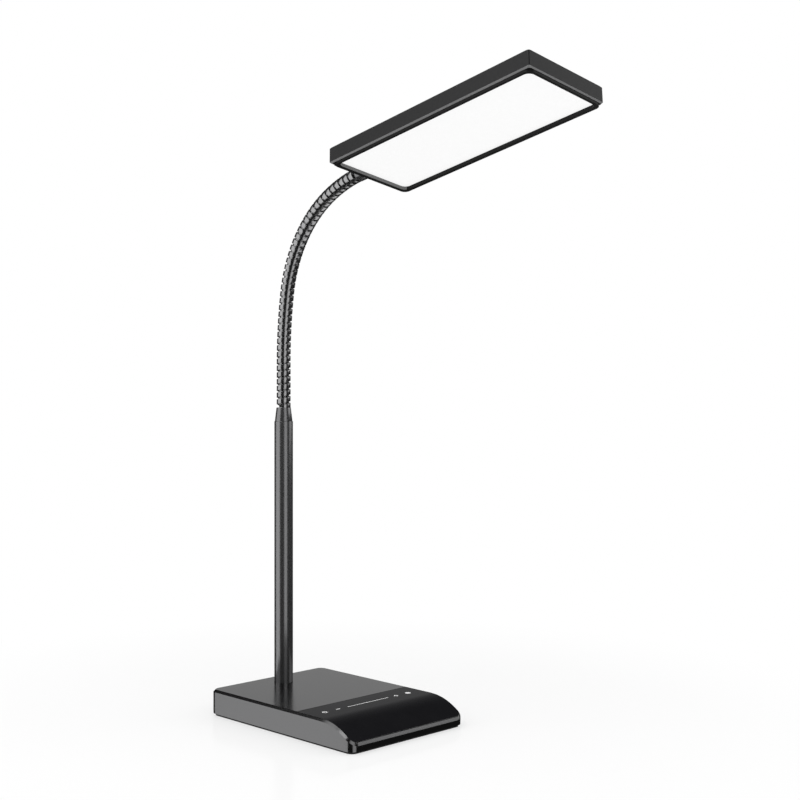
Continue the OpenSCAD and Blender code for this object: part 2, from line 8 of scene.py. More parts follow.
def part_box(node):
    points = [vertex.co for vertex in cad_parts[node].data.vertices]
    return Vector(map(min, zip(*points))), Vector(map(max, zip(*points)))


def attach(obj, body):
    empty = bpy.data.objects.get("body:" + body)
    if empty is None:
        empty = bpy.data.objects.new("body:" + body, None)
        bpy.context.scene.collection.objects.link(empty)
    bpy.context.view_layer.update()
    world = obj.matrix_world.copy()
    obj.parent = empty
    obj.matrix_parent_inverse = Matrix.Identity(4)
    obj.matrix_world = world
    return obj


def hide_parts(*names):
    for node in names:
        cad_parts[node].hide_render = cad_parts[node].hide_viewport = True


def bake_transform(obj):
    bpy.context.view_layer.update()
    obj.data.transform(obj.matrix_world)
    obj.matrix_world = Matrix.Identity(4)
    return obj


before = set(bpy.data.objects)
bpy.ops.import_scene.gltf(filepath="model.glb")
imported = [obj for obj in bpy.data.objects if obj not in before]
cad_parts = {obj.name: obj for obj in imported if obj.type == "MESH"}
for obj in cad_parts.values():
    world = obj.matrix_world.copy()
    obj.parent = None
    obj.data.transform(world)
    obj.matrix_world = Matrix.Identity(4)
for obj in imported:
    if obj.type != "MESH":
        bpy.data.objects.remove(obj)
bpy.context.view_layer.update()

# Anti-slip pad: a die-cut sheet of soft black rubber.
# It is glued under the steel plate, so only its edge shows, as a dark line at the table.

mm = 0.001
grain_detail = 4.0
grain_dark, grain_light = 0.3, 0.7
relief_depth = 0.05 * mm


def finish(name, colour, roughness, metallic=0.0, grain=900.0, spread=0.1, bump=0.0, ior=1.45):
    """Procedural finish: a colour with a fine grain that also varies the gloss and the surface."""
    material = bpy.data.materials.new(name)
    material.use_nodes = True
    tree = material.node_tree
    surface = tree.nodes["Principled BSDF"]
    surface.inputs["Metallic"].default_value = metallic
    surface.inputs["IOR"].default_value = ior
    place = tree.nodes.new("ShaderNodeTexCoord")
    noise = tree.nodes.new("ShaderNodeTexNoise")
    noise.inputs["Scale"].default_value = grain
    noise.inputs["Detail"].default_value = grain_detail
    tree.links.new(place.outputs["Object"], noise.inputs["Vector"])
    shades = tree.nodes.new("ShaderNodeValToRGB")
    shades.color_ramp.elements[0].position = grain_dark
    shades.color_ramp.elements[1].position = grain_light
    for stop, share in zip(shades.color_ramp.elements, (1 - spread, 1 + spread)):
        stop.color = (*(min(1.0, part * share) for part in colour), 1.0)
    tree.links.new(noise.outputs["Fac"], shades.inputs["Fac"])
    tree.links.new(shades.outputs["Color"], surface.inputs["Base Color"])
    gloss = tree.nodes.new("ShaderNodeMapRange")
    gloss.inputs["To Min"].default_value = roughness * (1 - spread)
    gloss.inputs["To Max"].default_value = roughness * (1 + spread)
    tree.links.new(noise.outputs["Fac"], gloss.inputs["Value"])
    tree.links.new(gloss.outputs["Result"], surface.inputs["Roughness"])
    if bump:
        relief = tree.nodes.new("ShaderNodeBump")
        relief.inputs["Strength"].default_value = bump
        relief.inputs["Distance"].default_value = relief_depth
        tree.links.new(noise.outputs["Fac"], relief.inputs["Height"])
        tree.links.new(relief.outputs["Normal"], surface.inputs["Normal"])
    return material


def dress(material, *names):
    """Gives CAD pieces their finish."""
    for name in names:
        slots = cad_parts[name].data.materials
        slots.clear()
        slots.append(material)


dress(finish("pad_rubber", (0.012, 0.012, 0.012), 0.8, grain=1500.0, bump=0.5), "base_pad")

# Base plate and its ballast: zinc-plated steel sheet with two cast iron blocks on it.
# The blocks, the plate and the cover are held together by countersunk screws from below.

dress(finish("zinc_steel", (0.42, 0.44, 0.46), 0.42, metallic=1.0, grain=260.0, bump=0.2),
      "base_plate", "pole_flange", "lower_stud")
dress(finish("ballast_iron", (0.07, 0.07, 0.075), 0.7, grain=700.0, spread=0.25, bump=0.7),
      "rear_ballast", "front_ballast")
dress(finish("screw_steel", (0.5, 0.5, 0.5), 0.35, metallic=1.0, grain=1800.0),
      "base_screws", "ballast_screws", "flange_screws", "clamp_screws", "plate_screws")

# Base cover: one moulding in satin dark grey with a fine metallic fleck.
# Its top is flat, and its front rolls down to a low lip.
# One narrow bevel runs round the whole top edge.

base_low, base_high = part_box("base_cover")
base_half_w = base_high.x
base_half_d = base_high.y
base_foot = base_low.z
base_top = base_high.z
base_corner = 7.5 * mm
corner_steps = 10
base_wall = 2.4 * mm
top_wall = 3.55 * mm
side_bevel = 2 * mm
bevel_soft = 0.15 * mm
front_inset = 0.9 * mm
front_depth = 1.3 * mm
foot_inset = 0.1 * mm
foot_gap = 0.35 * mm
wall_foot = 4.9 * mm
skin = 0.02 * mm
front_lip = 7.8 * mm
curve_start = -52 * mm
curve_run = base_half_d + curve_start
curve_drop = base_top - front_lip
curve_r = (curve_run ** 2 + curve_drop ** 2) / (2 * curve_drop)
curve_cuts = 28
curve_slack = math.radians(3)
side_slack = 0.03
rear_slack = 0.01
upright_share = 0.8
flat_turn = math.radians(0.3)
weld_gap = 0.002 * mm
round_angle = 30


def choose(*pieces):
    """Leaves edit mode and selects these pieces alone, with the first one to work on."""
    if bpy.context.mode != "OBJECT":
        bpy.ops.object.mode_set(mode="OBJECT")
    bpy.ops.object.select_all(action="DESELECT")
    for piece in pieces:
        piece.select_set(True)
    if pieces:
        bpy.context.view_layer.objects.active = pieces[0]


def edit(piece):
    """Opens one piece alone in edit mode."""
    choose(piece)
    bpy.ops.object.mode_set(mode="EDIT")


def close():
    """Goes back from edit mode."""
    bpy.ops.object.mode_set(mode="OBJECT")


def pick(kind, test):
    """Selects, in edit mode, only the points, edges or faces that pass a test."""
    bpy.ops.mesh.select_mode(type=kind)
    bpy.ops.mesh.select_all(action="DESELECT")
    data = bpy.context.edit_object.data
    shape = bmesh.from_edit_mesh(data)
    shape.normal_update()
    for part in {"VERT": shape.verts, "EDGE": shape.edges, "FACE": shape.faces}[kind]:
        if test(part):
            part.select_set(True)
    bmesh.update_edit_mesh(data)


def settle(name):
    """Names the piece that was just added and keeps its place in its mesh."""
    piece = bpy.context.object
    piece.name = name
    bpy.ops.object.transform_apply(location=True, rotation=True, scale=True)
    return piece


def block(name, low, high):
    """A box between two corners, open in edit mode."""
    choose()
    low, high = Vector(low), Vector(high)
    bpy.ops.mesh.primitive_cube_add(size=1, location=(low + high) / 2, scale=high - low)
    piece = settle(name)
    edit(piece)
    return piece


def upright(edge):
    """True for an edge that stands on end."""
    start, end = (corner.co for corner in edge.verts)
    return abs(start.z - end.z) > upright_share * (start - end).length


def base_slab(inset, front, low, high):
    """A slab with the base's rounded outline, drawn in, with an inset of its own at the front."""
    half_w = base_half_w - inset
    near, far = front - base_half_d, base_half_d - inset
    slab = block("slab", (-half_w, near, low), (half_w, far, high))
    pick("EDGE", upright)
    bpy.ops.mesh.bevel(offset=base_corner - inset, segments=corner_steps, affect="EDGES")
    return slab


def base_form(inset, front, depth, low_depth, low):
    """Such a slab under the base's top, lowered by a depth that is its own at the front lip."""
    slab = base_slab(inset, front, low, base_top - depth)
    lip = base_top - curve_r + math.sqrt((curve_r - low_depth) ** 2 - curve_run ** 2)
    drop = base_top - depth - lip
    r = (curve_run ** 2 + drop ** 2) / (2 * drop)
    centre = Vector((0, curve_start, base_top - depth - r))
    for cut in range(curve_cuts):
        turn = math.asin(curve_run / r) * (cut + 0.5) / curve_cuts
        out = Vector((0, -math.sin(turn), math.cos(turn)))
        bpy.ops.mesh.select_all(action="SELECT")
        bpy.ops.mesh.bisect(
            plane_co=centre + out * r, plane_no=out, use_fill=True, clear_outer=True
        )
    return slab


def soft_bevel(size, soft):
    """Steps in and down across a bevel with rounded edges, as pairs of inset and depth."""
    slant = soft / math.sqrt(2)
    step = (soft - slant) / 4
    return (
        (0, size + soft),
        (slant / 4, size + step),
        (slant, size - slant),
        (size - slant, slant),
        (size + step, slant / 4),
        (size + soft, 0),
    )


def hull(name, slabs):
    """The one convex form that just holds all the slabs, open in edit mode."""
    choose(*slabs)
    bpy.ops.object.join()
    piece = bpy.context.object
    piece.name = name
    edit(piece)
    bpy.ops.mesh.select_all(action="SELECT")
    bpy.ops.mesh.convex_hull()
    bpy.ops.mesh.select_all(action="SELECT")
    bpy.ops.mesh.dissolve_limited(angle_limit=flat_turn)
    bpy.ops.mesh.select_all(action="SELECT")
    bpy.ops.mesh.normals_make_consistent(inside=False)
    return piece


def on_top(face):
    """True for the flat top and the rolled front, not for the bevel round them."""
    steepest = math.asin(curve_run / curve_r) + curve_slack
    level = abs(face.normal.x) < side_slack and face.normal.y < rear_slack
    return level and face.normal.z > math.cos(steepest)


def work(piece, kind, **values):
    """Puts a piece through one modifier with the given values, and applies it."""
    step = piece.modifiers.new(kind.lower(), kind)
    for name, value in values.items():
        setattr(step, name, value)
    bpy.ops.object.modifier_apply(modifier=step.name)


def cut_away(piece, cutter, operation="DIFFERENCE"):
    """Cuts one piece out of another, as a tool would, or adds it, and clears the second away."""
    choose(piece)
    work(piece, "BOOLEAN", operation=operation, solver="EXACT", object=cutter)
    bpy.data.objects.remove(cutter)


def smooth(piece, angle, flats=False):
    """Shades a piece smooth up to an angle, and where asked keeps flats flat up to their edges."""
    edit(piece)
    bpy.ops.mesh.select_all(action="SELECT")
    bpy.ops.mesh.remove_doubles(threshold=weld_gap)
    close()
    bpy.ops.object.shade_smooth_by_angle(angle=math.radians(angle))
    if flats:
        work(piece, "WEIGHTED_NORMAL", keep_sharp=True)


def fit(piece, material, slot, body, *replaced):
    """Gives a finished piece its material and its body, and hides the CAD nodes it stands for; the
    slot is not used.
    """
    piece.data.name = piece.name
    piece.data.materials.clear()
    piece.data.materials.append(material)
    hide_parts(*replaced)
    if body:
        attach(piece, body)


slabs = [base_slab(foot_inset, foot_inset, base_foot + foot_gap, base_foot + foot_gap + skin)]
for inset, depth in soft_bevel(side_bevel, bevel_soft):
    front, low_depth = inset * front_inset / side_bevel, depth * front_depth / side_bevel
    slabs.append(base_form(inset, front, depth, low_depth, wall_foot))
cover = hull("base_cover_shell", slabs)

# Touch panel: a curved strip of gloss black plastic that fills the front of the cover.
# It drops into a shallow pocket, stops just short of the bevel, and hides the sensor board.

lens_rear = -22.2 * mm
lens_rim = 0.12 * mm
lens_gap = 0.1 * mm
lens_t = 1.6 * mm
lens_sink = 0.1 * mm
lens_edge = 0.12 * mm
lens_edge_angle = 40
pocket_depth = 2.45 * mm
board_room = 0.2 * mm
hole_gap = 0.12 * mm
jack_hole_r = 4.15 * mm
edge_steps = 3
round_steps = 96


def soften(piece, width, angle):
    """Rounds the edges of a piece that turn by more than an angle."""
    choose(piece)
    work(piece, "BEVEL", width=width, segments=edge_steps,
         limit_method="ANGLE", angle_limit=math.radians(angle))


bpy.ops.mesh.select_all(action="SELECT")
bpy.ops.mesh.bisect(plane_co=(0, lens_rear + lens_rim, 0), plane_no=(0, 1, 0))
pick("FACE", lambda face: on_top(face) and face.calc_center_median().y < lens_rear + lens_rim)
bpy.ops.mesh.inset(thickness=lens_rim)
close()
bpy.ops.object.duplicate()
panel = bpy.context.object
panel.name = "touch_lens"
edit(panel)
bpy.ops.mesh.select_mode(type="FACE")
bpy.ops.mesh.select_all(action="INVERT")
bpy.ops.mesh.delete(type="FACE")
bpy.ops.mesh.select_all(action="SELECT")
bpy.ops.mesh.inset(thickness=lens_gap)
bpy.ops.mesh.select_all(action="INVERT")
bpy.ops.mesh.delete(type="FACE")
bpy.ops.mesh.select_all(action="SELECT")
bpy.ops.transform.translate(value=(0, 0, -lens_sink))
close()
work(panel, "SOLIDIFY", thickness=lens_t, offset=-1, use_even_offset=True)
soften(panel, lens_edge, lens_edge_angle)
smooth(panel, round_angle, flats=True)
gloss_black = finish(
    "gloss_black", (0.008, 0.008, 0.009), 0.05, grain=60.0, spread=0.08, ior=1.08
)
fit(panel, gloss_black, "gloss_black", "base", "touch_panel")

edit(cover)
bpy.ops.mesh.select_mode(type="FACE")
bpy.ops.mesh.extrude_region_move(TRANSFORM_OT_translate={"value": (0, 0, -pocket_depth)})
close()
hollow = base_form(base_wall, base_wall, top_wall, top_wall, 0)
cut_away(cover, hollow)
board_low, board_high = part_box("touch_board")
opening = block(
    "opening",
    (board_low.x - board_room, board_low.y - board_room, 0),
    (board_high.x + board_room, board_high.y + board_room, base_top - pocket_depth + board_room),
)
cut_away(cover, opening)


def drill(name, piece, place, r, length, along="Z"):
    """Drills a round hole through a wall, about an axis through a place."""
    turn = {"Y": (math.pi / 2, 0, 0), "Z": (0, 0, 0)}[along]
    choose()
    bpy.ops.mesh.primitive_cylinder_add(
        vertices=round_steps, radius=r, depth=length, location=place, rotation=turn
    )
    cut_away(piece, settle(name))


pole_low, pole_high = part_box("pole")
pole_r = (pole_high.x - pole_low.x) / 2
pole_y = (pole_high.y + pole_low.y) / 2
drill("pole_hole", cover, (0, pole_y, base_top), pole_r + hole_gap, base_top)
pin_low, pin_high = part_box("jack_pin")
jack_place = (pin_low + pin_high) / 2
jack_place.y = base_half_d
drill("jack_hole", cover, jack_place, jack_hole_r, 4 * base_wall, "Y")
smooth(cover, round_angle, flats=True)
cover_grey = finish(
    "cover_grey", (0.132, 0.132, 0.134), 0.2, metallic=1.0, grain=2600.0, spread=0.06, bump=0.04
)
fit(cover, cover_grey, "cover_grey", "base", "base_cover")

# Marks on the touch panel: white ink over the keys, printed through a screen.
# From the left: on and off, dimmer, the sliding line, brighter, and the light's colour.

mark_y = -39.4 * mm
mark_z = base_top - lens_sink
mark_t = 0.03 * mm
mark_clip = 0.3
clip_steps = 2
disc_steps = 48
power_x, power_r, power_line = -46.1 * mm, 2.2 * mm, 0.8 * mm
power_tick_up, power_tick_d = 0.6 * power_r, 1.1 * power_r
minus_x, minus_w, minus_d = -32 * mm, 4.2 * mm, 1.2 * mm
slide_low, slide_high, slide_d = -21.6 * mm, 23.4 * mm, 0.75 * mm
plus_x, plus_w, plus_line = 32.2 * mm, 4 * mm, 1.4 * mm
colour_x, colour_r = 46.1 * mm, 2.4 * mm


def bar(x, y, w, d):
    """A printed bar with clipped corners."""
    low, high = (x - w / 2, y - d / 2, mark_z), (x + w / 2, y + d / 2, mark_z + mark_t)
    piece = block("mark", low, high)
    pick("EDGE", upright)
    bpy.ops.mesh.bevel(offset=mark_clip * min(w, d), segments=clip_steps, affect="EDGES")
    close()
    return piece


def disc(x, r, ring=0.0, gap=0.0):
    """A printed dot, or a ring with a gap at its far side."""
    choose()
    bpy.ops.mesh.primitive_circle_add(
        vertices=disc_steps, radius=r, fill_type="NGON", location=(x, mark_y, mark_z)
    )
    piece = settle("mark")
    edit(piece)
    bpy.ops.mesh.select_all(action="SELECT")
    if ring:
        bpy.ops.mesh.inset(thickness=ring)
        bpy.ops.mesh.delete(type="FACE")
    if gap:
        pick("FACE", lambda face: abs(face.calc_center_median().x - x) < gap
             and face.calc_center_median().y > mark_y)
        bpy.ops.mesh.delete(type="FACE")
    bpy.ops.mesh.select_all(action="SELECT")
    bpy.ops.mesh.extrude_region_move(TRANSFORM_OT_translate={"value": (0, 0, mark_t)})
    close()
    return piece


marks = [
    disc(power_x, power_r, ring=power_line, gap=power_line),
    bar(power_x, mark_y + power_tick_up, power_line, power_tick_d),
    bar(minus_x, mark_y, minus_w, minus_d),
    bar((slide_low + slide_high) / 2, mark_y, slide_high - slide_low, slide_d),
    bar(plus_x, mark_y, plus_w, plus_line),
    bar(plus_x, mark_y, plus_line, plus_w),
    disc(colour_x, colour_r),
]
choose(*marks)
bpy.ops.object.join()
print_marks = bpy.context.object
print_marks.name = "touch_marks"
mark_white = finish("mark_white", (0.82, 0.82, 0.82), 0.5, grain=3000.0, spread=0.04)
fit(print_marks, mark_white, "white_sheet", "base")

# Boards and jack: green fibreglass boards with black parts, and a moulded power jack.
# The boards lie on the ballast and under the panel, and the jack looks out at the rear.

dress(finish("board_green", (0.012, 0.1, 0.035), 0.4, grain=500.0, spread=0.2),
      "touch_board", "control_board")
dress(finish("chip_black", (0.016, 0.016, 0.018), 0.55, grain=2200.0, bump=0.3),
      "board_parts", "dc_jack")
dress(finish("contact_metal", (0.62, 0.6, 0.56), 0.28, metallic=1.0, grain=1500.0), "jack_pin")

# Pole: a straight drawn steel tube, lacquered satin black.
# It stands in a cast flange inside the base and passes through the cover near its rear edge.

tube_wall = 1.5 * mm
edge_soft = 0.35 * mm
edge_angle = 50


def turned(name, rings):
    """A turned piece about the Z axis: a ring is drawn, pulled from ring to ring and closed."""
    choose()
    first_r, first_z = rings[0]
    bpy.ops.mesh.primitive_circle_add(
        vertices=round_steps, radius=first_r, location=(0, 0, first_z)
    )
    piece = settle(name)
    edit(piece)
    bpy.ops.mesh.select_mode(type="EDGE")
    bpy.ops.mesh.select_all(action="SELECT")
    for (r, z), (next_r, next_z) in zip(rings, rings[1:]):
        bpy.ops.mesh.extrude_region_move(TRANSFORM_OT_translate={"value": (0, 0, next_z - z)})
        share = next_r / r
        bpy.ops.transform.resize(value=(share, share, 1), center_override=(0, 0, next_z))
    pick("EDGE", lambda edge: edge.is_boundary)
    bpy.ops.mesh.bridge_edge_loops()
    bpy.ops.mesh.select_all(action="SELECT")
    bpy.ops.mesh.normals_make_consistent(inside=False)
    close()
    soften(piece, edge_soft, edge_angle)
    return piece


def stand(piece, place):
    """Moves a piece to its place and keeps that place in its mesh."""
    piece.matrix_world = place
    choose(piece)
    bpy.ops.object.transform_apply(location=True, rotation=True, scale=True)


pole = turned("pole_tube", [
    (pole_r, pole_low.z),
    (pole_r, pole_high.z),
    (pole_r - tube_wall, pole_high.z),
    (pole_r - tube_wall, pole_low.z),
])
stand(pole, Matrix.Translation((0, pole_y, 0)))
smooth(pole, round_angle)
black_metal = finish(
    "black_metal", (0.17, 0.17, 0.173), 0.24, metallic=0.87, grain=1200.0, spread=0.05, bump=0.03
)
fit(pole, black_metal, "black_metal", "base", "pole")
dress(finish("lead_black", (0.015, 0.015, 0.015), 0.6, grain=1800.0, bump=0.3), "pole_lead")

# Ferrule: a short tapered ring, turned from steel and finished like the pole.
# Its spigot is pressed into the pole, and the gooseneck's first turn sits in its upper end.

ferrule_low, ferrule_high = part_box("neck_ferrule")
ferrule_low_r = (ferrule_high.x - ferrule_low.x) / 2
ferrule_top_r = 6.2 * mm
neck_r = 6 * mm
seat_gap = 0.05 * mm
seat_r = neck_r + seat_gap
seat_depth = 2.2 * mm
stud_r = 2.95 * mm
ferrule = turned("ferrule_ring", [
    (ferrule_low_r, pole_high.z),
    (ferrule_top_r, ferrule_high.z),
    (seat_r, ferrule_high.z),
    (seat_r, ferrule_high.z - seat_depth),
    (stud_r, ferrule_high.z - seat_depth),
    (stud_r, ferrule_low.z),
    (pole_r - tube_wall, ferrule_low.z),
    (pole_r - tube_wall, pole_high.z),
])
stand(ferrule, Matrix.Translation((0, pole_y, 0)))
smooth(ferrule, round_angle)
fit(ferrule, black_metal, "black_metal", "base", "neck_ferrule")

# Gooseneck: one steel band, a rib on a wide foot, wound round a black liner and blackened.
# It holds any bend by the friction between its turns.
# Here each stretch of three turns is built as one piece and laid along the neck's bends.

neck_foot = Vector((0, pole_y, ferrule_high.z))
neck_bends = ((38.7 * mm, 0), (60 * mm, 9), (100 * mm, 52), (40 * mm, 17), (300 * mm, 0))
neck_pitch = 5.8 * mm
band_w = 4.05 * mm
band_t = 1.9 * mm
band_foot_w = 5.65 * mm
band_foot_t = 0.5 * mm
band_foot_r = neck_r - band_t + band_foot_t
band_round = 0.15 * mm
band_steps = 40
band_angle = 35
straight_turn = math.radians(1)
pick_slack = 0.1 * mm
link_count = 13
link_turns = 3
winding_gap = 0.6 * mm
first_turn = band_w / 2 + winding_gap
collar_len = 15 * mm
link_len = link_turns * neck_pitch
winding_end = first_turn + link_count * link_len
collar_from = winding_end + first_turn
neck_len = collar_from + collar_len
liner_r = 3.9 * mm
liner_sides = 32
liner_ring = 1.5 * mm
low_end_turns = 0.4
high_end_turns = 1.4
route_steps = 500


def neck_place(s):
    """Point on the neck's axis at a distance from the ferrule, and its lean in degrees."""
    y = z = lean = 0.0
    for run, turn in neck_bends:
        part = min(s, run)
        end = lean + turn * part / run
        if turn:
            r = run / math.radians(turn)
            y += r * (math.cos(math.radians(end)) - math.cos(math.radians(lean)))
            z += r * (math.sin(math.radians(end)) - math.sin(math.radians(lean)))
        else:
            y -= math.sin(math.radians(lean)) * part
            z += math.cos(math.radians(lean)) * part
        lean = end
        s -= part
        if s <= 0:
            break
    return neck_foot + Vector((0, y, z)), lean


route_data = bpy.data.curves.new("neck_route", "CURVE")
route_data.dimensions = "3D"
spline = route_data.splines.new("POLY")
spline.points.add(route_steps)
for step, point in enumerate(spline.points):
    point.co = (*neck_place(neck_len * step / route_steps)[0], 1)
neck_route = bpy.data.objects.new("neck_route", route_data)
bpy.context.collection.objects.link(neck_route)


def wind(name, turns):
    """Winds the band from its section: a wide foot with a rib on it, swept up a screw."""
    choose()
    bpy.ops.mesh.primitive_plane_add(size=1)
    bpy.context.object.matrix_world = (
        Matrix.Translation((band_foot_r - band_foot_t / 2, 0, 0))
        @ Matrix.Rotation(math.pi / 2, 4, "X")
        @ Matrix.Diagonal((band_foot_t, band_foot_w, 1, 1))
    )
    piece = settle(name)
    edit(piece)
    pick("EDGE", lambda side: min(end.co.x for end in side.verts) > band_foot_r - pick_slack)
    bpy.ops.mesh.extrude_region_move()
    narrower = (1, 1, band_w / band_foot_w)
    bpy.ops.transform.resize(value=narrower, center_override=(band_foot_r, 0, 0))
    rib = (neck_r - band_foot_r, 0, 0)
    bpy.ops.mesh.extrude_region_move(TRANSFORM_OT_translate={"value": rib})
    pick("VERT", lambda corner: corner.co.x > neck_r - pick_slack)
    bpy.ops.mesh.bevel(offset=band_round, segments=edge_steps, affect="VERTICES")
    bpy.ops.mesh.select_all(action="SELECT")
    bpy.ops.mesh.dissolve_limited(angle_limit=straight_turn)
    bpy.ops.mesh.select_all(action="SELECT")
    bpy.ops.mesh.delete(type="ONLY_FACE")
    close()
    steps = round(band_steps * turns)
    work(piece, "SCREW", axis="Z", angle=2 * math.pi * turns, screw_offset=neck_pitch * turns,
         steps=steps, render_steps=steps, use_merge_vertices=False)
    edit(piece)
    pick("EDGE", lambda edge: edge.is_boundary)
    bpy.ops.mesh.fill_holes(sides=0)
    bpy.ops.mesh.select_all(action="SELECT")
    bpy.ops.mesh.normals_make_consistent(inside=False)
    close()
    return piece


def liner(name, length):
    """A length of the liner, with rings close enough to bend smoothly."""
    choose()
    bpy.ops.mesh.primitive_cylinder_add(
        vertices=liner_sides, radius=liner_r, depth=length, location=(0, 0, length / 2)
    )
    piece = settle(name)
    edit(piece)
    rings = math.ceil(length / liner_ring)
    for ring in range(1, rings):
        bpy.ops.mesh.select_all(action="SELECT")
        bpy.ops.mesh.bisect(plane_co=(0, 0, length * ring / rings), plane_no=(0, 0, 1))
    close()
    return piece


def lay(pattern, name, s, turn):
    """Copies a straight length, turns it to its start and bends it along the neck's route."""
    piece = pattern.copy()
    piece.data = pattern.data.copy()
    piece.name = name
    bpy.context.collection.objects.link(piece)
    stand(piece, Matrix.Translation((0, 0, s)) @ Matrix.Rotation(turn, 4, "Z"))
    work(piece, "CURVE", object=neck_route, deform_axis="POS_Z")
    smooth(piece, band_angle)
    return piece


neck_metal = finish(
    "neck_metal", (0.3, 0.3, 0.303), 0.22, metallic=1.0, grain=1600.0, spread=0.06, bump=0.03
)
liner_black = finish("liner_black", (0.008, 0.008, 0.008), 0.7, grain=1500.0)
half_link = link_turns / 2
first_mid = first_turn + link_len / 2

band = wind("band_pattern", link_turns)
tube = liner("liner_pattern", link_len)
for link in range(1, link_count):
    s = first_mid + (link - 1) * link_len
    start, end = neck_place(s)[0], neck_place(s + link_len)[0]
    turns = lay(band, f"neck_band_{link:02d}", s, 0)
    fit(turns, neck_metal, "neck_metal", None, f"neck_turns_{link + 1:02d}")
    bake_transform(turns)
    inner = lay(tube, f"neck_liner_{link:02d}", s, 0)
    fit(inner, liner_black, "lead_black", None, f"neck_core_{link + 1:02d}")
    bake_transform(inner)
low_turns, high_turns = half_link + low_end_turns, half_link + high_end_turns
low_from = first_mid - low_turns * neck_pitch
high_from = first_mid + (link_count - 1) * link_len
low_nodes = ("neck_turns_01", "neck_core_01")
for name, count, s, turn, body, replaced in (
    ("low", low_turns, low_from, -2 * math.pi * low_turns, "base", low_nodes),
    ("high", high_turns, high_from, 0, "head", ()),
):
    end_band = wind("end_band_pattern", count)
    end_tube = liner("end_liner_pattern", count * neck_pitch)
    turns = lay(end_band, f"neck_band_{name}", s, turn)
    fit(turns, neck_metal, "neck_metal", body, *replaced[:1])
    inner = lay(end_tube, f"neck_liner_{name}", s, 0)
    fit(inner, liner_black, "lead_black", body, *replaced[1:])
    bpy.data.objects.remove(end_band)
    bpy.data.objects.remove(end_tube)
for pattern in (band, tube, neck_route):
    bpy.data.objects.remove(pattern)

# Collar: the plain turned end of the gooseneck, blackened like the pole.
# Its stud goes through the head's rear wall, and a cast clamp with two screws grips it there.

neck_end, neck_lean = neck_place(neck_len)
along_neck = Matrix.Translation(neck_end) @ Matrix.Rotation(math.radians(neck_lean), 4, "X")
collar_r = 6.2 * mm
collar_shows = collar_len - neck_pitch
stud_in = 21.8 * mm
stud_wall = 1 * mm
stud_gap = 0.05 * mm
collar = turned("neck_collar_ring", [
    (stud_r - stud_wall, -collar_shows + seat_depth),
    (seat_r, -collar_shows + seat_depth),
    (seat_r, -collar_shows),
    (collar_r, -collar_shows),
    (collar_r, 0),
    (stud_r - stud_gap, 0),
    (stud_r - stud_gap, stud_in),
    (stud_r - stud_wall, stud_in),
])
stand(collar, along_neck)
smooth(collar, round_angle)
fit(collar, black_metal, "black_metal", "head", "neck_collar")
cast_alloy = finish("cast_alloy", (0.36, 0.37, 0.38), 0.5, metallic=1.0, grain=500.0, bump=0.4)
dress(cast_alloy, "neck_clamp", "back_plate")
dress(finish("connector_cream", (0.75, 0.7, 0.55), 0.5, grain=1200.0), "lead_connector")
dress(finish("flex_amber", (0.4, 0.16, 0.03), 0.35, grain=400.0, spread=0.2), "head_flex")

# Head housing: a shallow tray moulded in matte dark grey, with rounded corners and a fine bevel.
# It carries all the light parts and is closed by the lit sheet and the bezel below.

head_len = 208.9 * mm
head_w = 80.5 * mm
head_t = 15.6 * mm
head_wall = 1.8 * mm
head_corner = 1 * mm
head_corner_steps = 8
rim_corner = 2 * mm
tray_corner = 3 * mm
back_bevel = 0.8 * mm
back_corner = 2.5 * mm
back_sides = (0.7, 0.5, 0.6, 0.8)
rim_bevel = 1.1 * mm
rim_sides = (1.25, 0.5, 0.9, 1.4)
rim_lift = 2 * mm
rim_facing = (-0.97, -0.3)
head_soft = 0.12 * mm
head_angle = 40
head_roll = math.radians(11)
neck_above = 1.1 * mm
face_z = -head_t / 2
on_head = (
    Matrix.Translation(neck_end)
    @ Matrix.Rotation(math.radians(neck_lean - 90), 4, "X")
    @ Matrix.Rotation(head_roll, 4, "Y")
    @ Matrix.Translation((0, 0, -neck_above))
)


def head_slab(name, insets, z_low, z_high, corner):
    """A slab in the head's frame, drawn in at left, right, front and rear, open in edit mode."""
    left, right, front, rear = insets
    low = (left - head_w / 2, front - head_len, z_low)
    high = (head_w / 2 - right, -rear, z_high)
    slab = block(name, low, high)
    pick("EDGE", upright)
    bpy.ops.mesh.bevel(offset=corner, segments=head_corner_steps, affect="EDGES")
    return slab


slabs = []
for inset, depth in soft_bevel(back_bevel, head_soft):
    insets = [side * mm * inset / back_bevel for side in back_sides]
    corner = head_corner + (back_corner - head_corner) * min(1.0, inset / back_bevel)
    slabs.append(head_slab("slab", insets, 0, -face_z - depth, corner))
for inset, depth in soft_bevel(rim_bevel, head_soft):
    insets = [side * mm * inset / rim_bevel for side in rim_sides]
    corner = head_corner + (rim_corner - head_corner) * min(1.0, inset / rim_bevel)
    slabs.append(head_slab("slab", insets, face_z + rim_lift + depth, 0, corner))
housing = hull("head_tray", slabs)
cavity_low, cavity_high = face_z - head_wall, -face_z - head_wall
cavity = head_slab("cavity", [head_wall] * 4, cavity_low, cavity_high, tray_corner)
cut_away(housing, cavity)
drill("stud_hole", housing, (0, 0, neck_above), stud_r, 4 * head_wall, "Y")
stand(housing, on_head)
smooth(housing, head_angle, flats=True)
head_grey = finish(
    "head_grey", (0.012, 0.012, 0.0125), 0.45, grain=3000.0, spread=0.08, bump=0.1, ior=1.3
)
# A lighter grey for the slanted bevel at the tray's foot: a painted highlight where the bevel
# catches the light.
rim_highlight_paint = finish("rim_highlight_paint", (0.145, 0.145, 0.147), 0.4, grain=2400.0, spread=0.06)
fit(housing, head_grey, "head_grey", "head", "head_housing")


def paint_lit_faces(piece, material, test):
    """Gives the faces of a head piece that pass a test of place and facing a second, lighter
    material: painted light.
    """
    piece.data.materials.append(material)
    back = on_head.inverted()
    for face in piece.data.polygons:
        if test(back @ face.center, back.to_3x3() @ face.normal):
            face.material_index = len(piece.data.materials) - 1


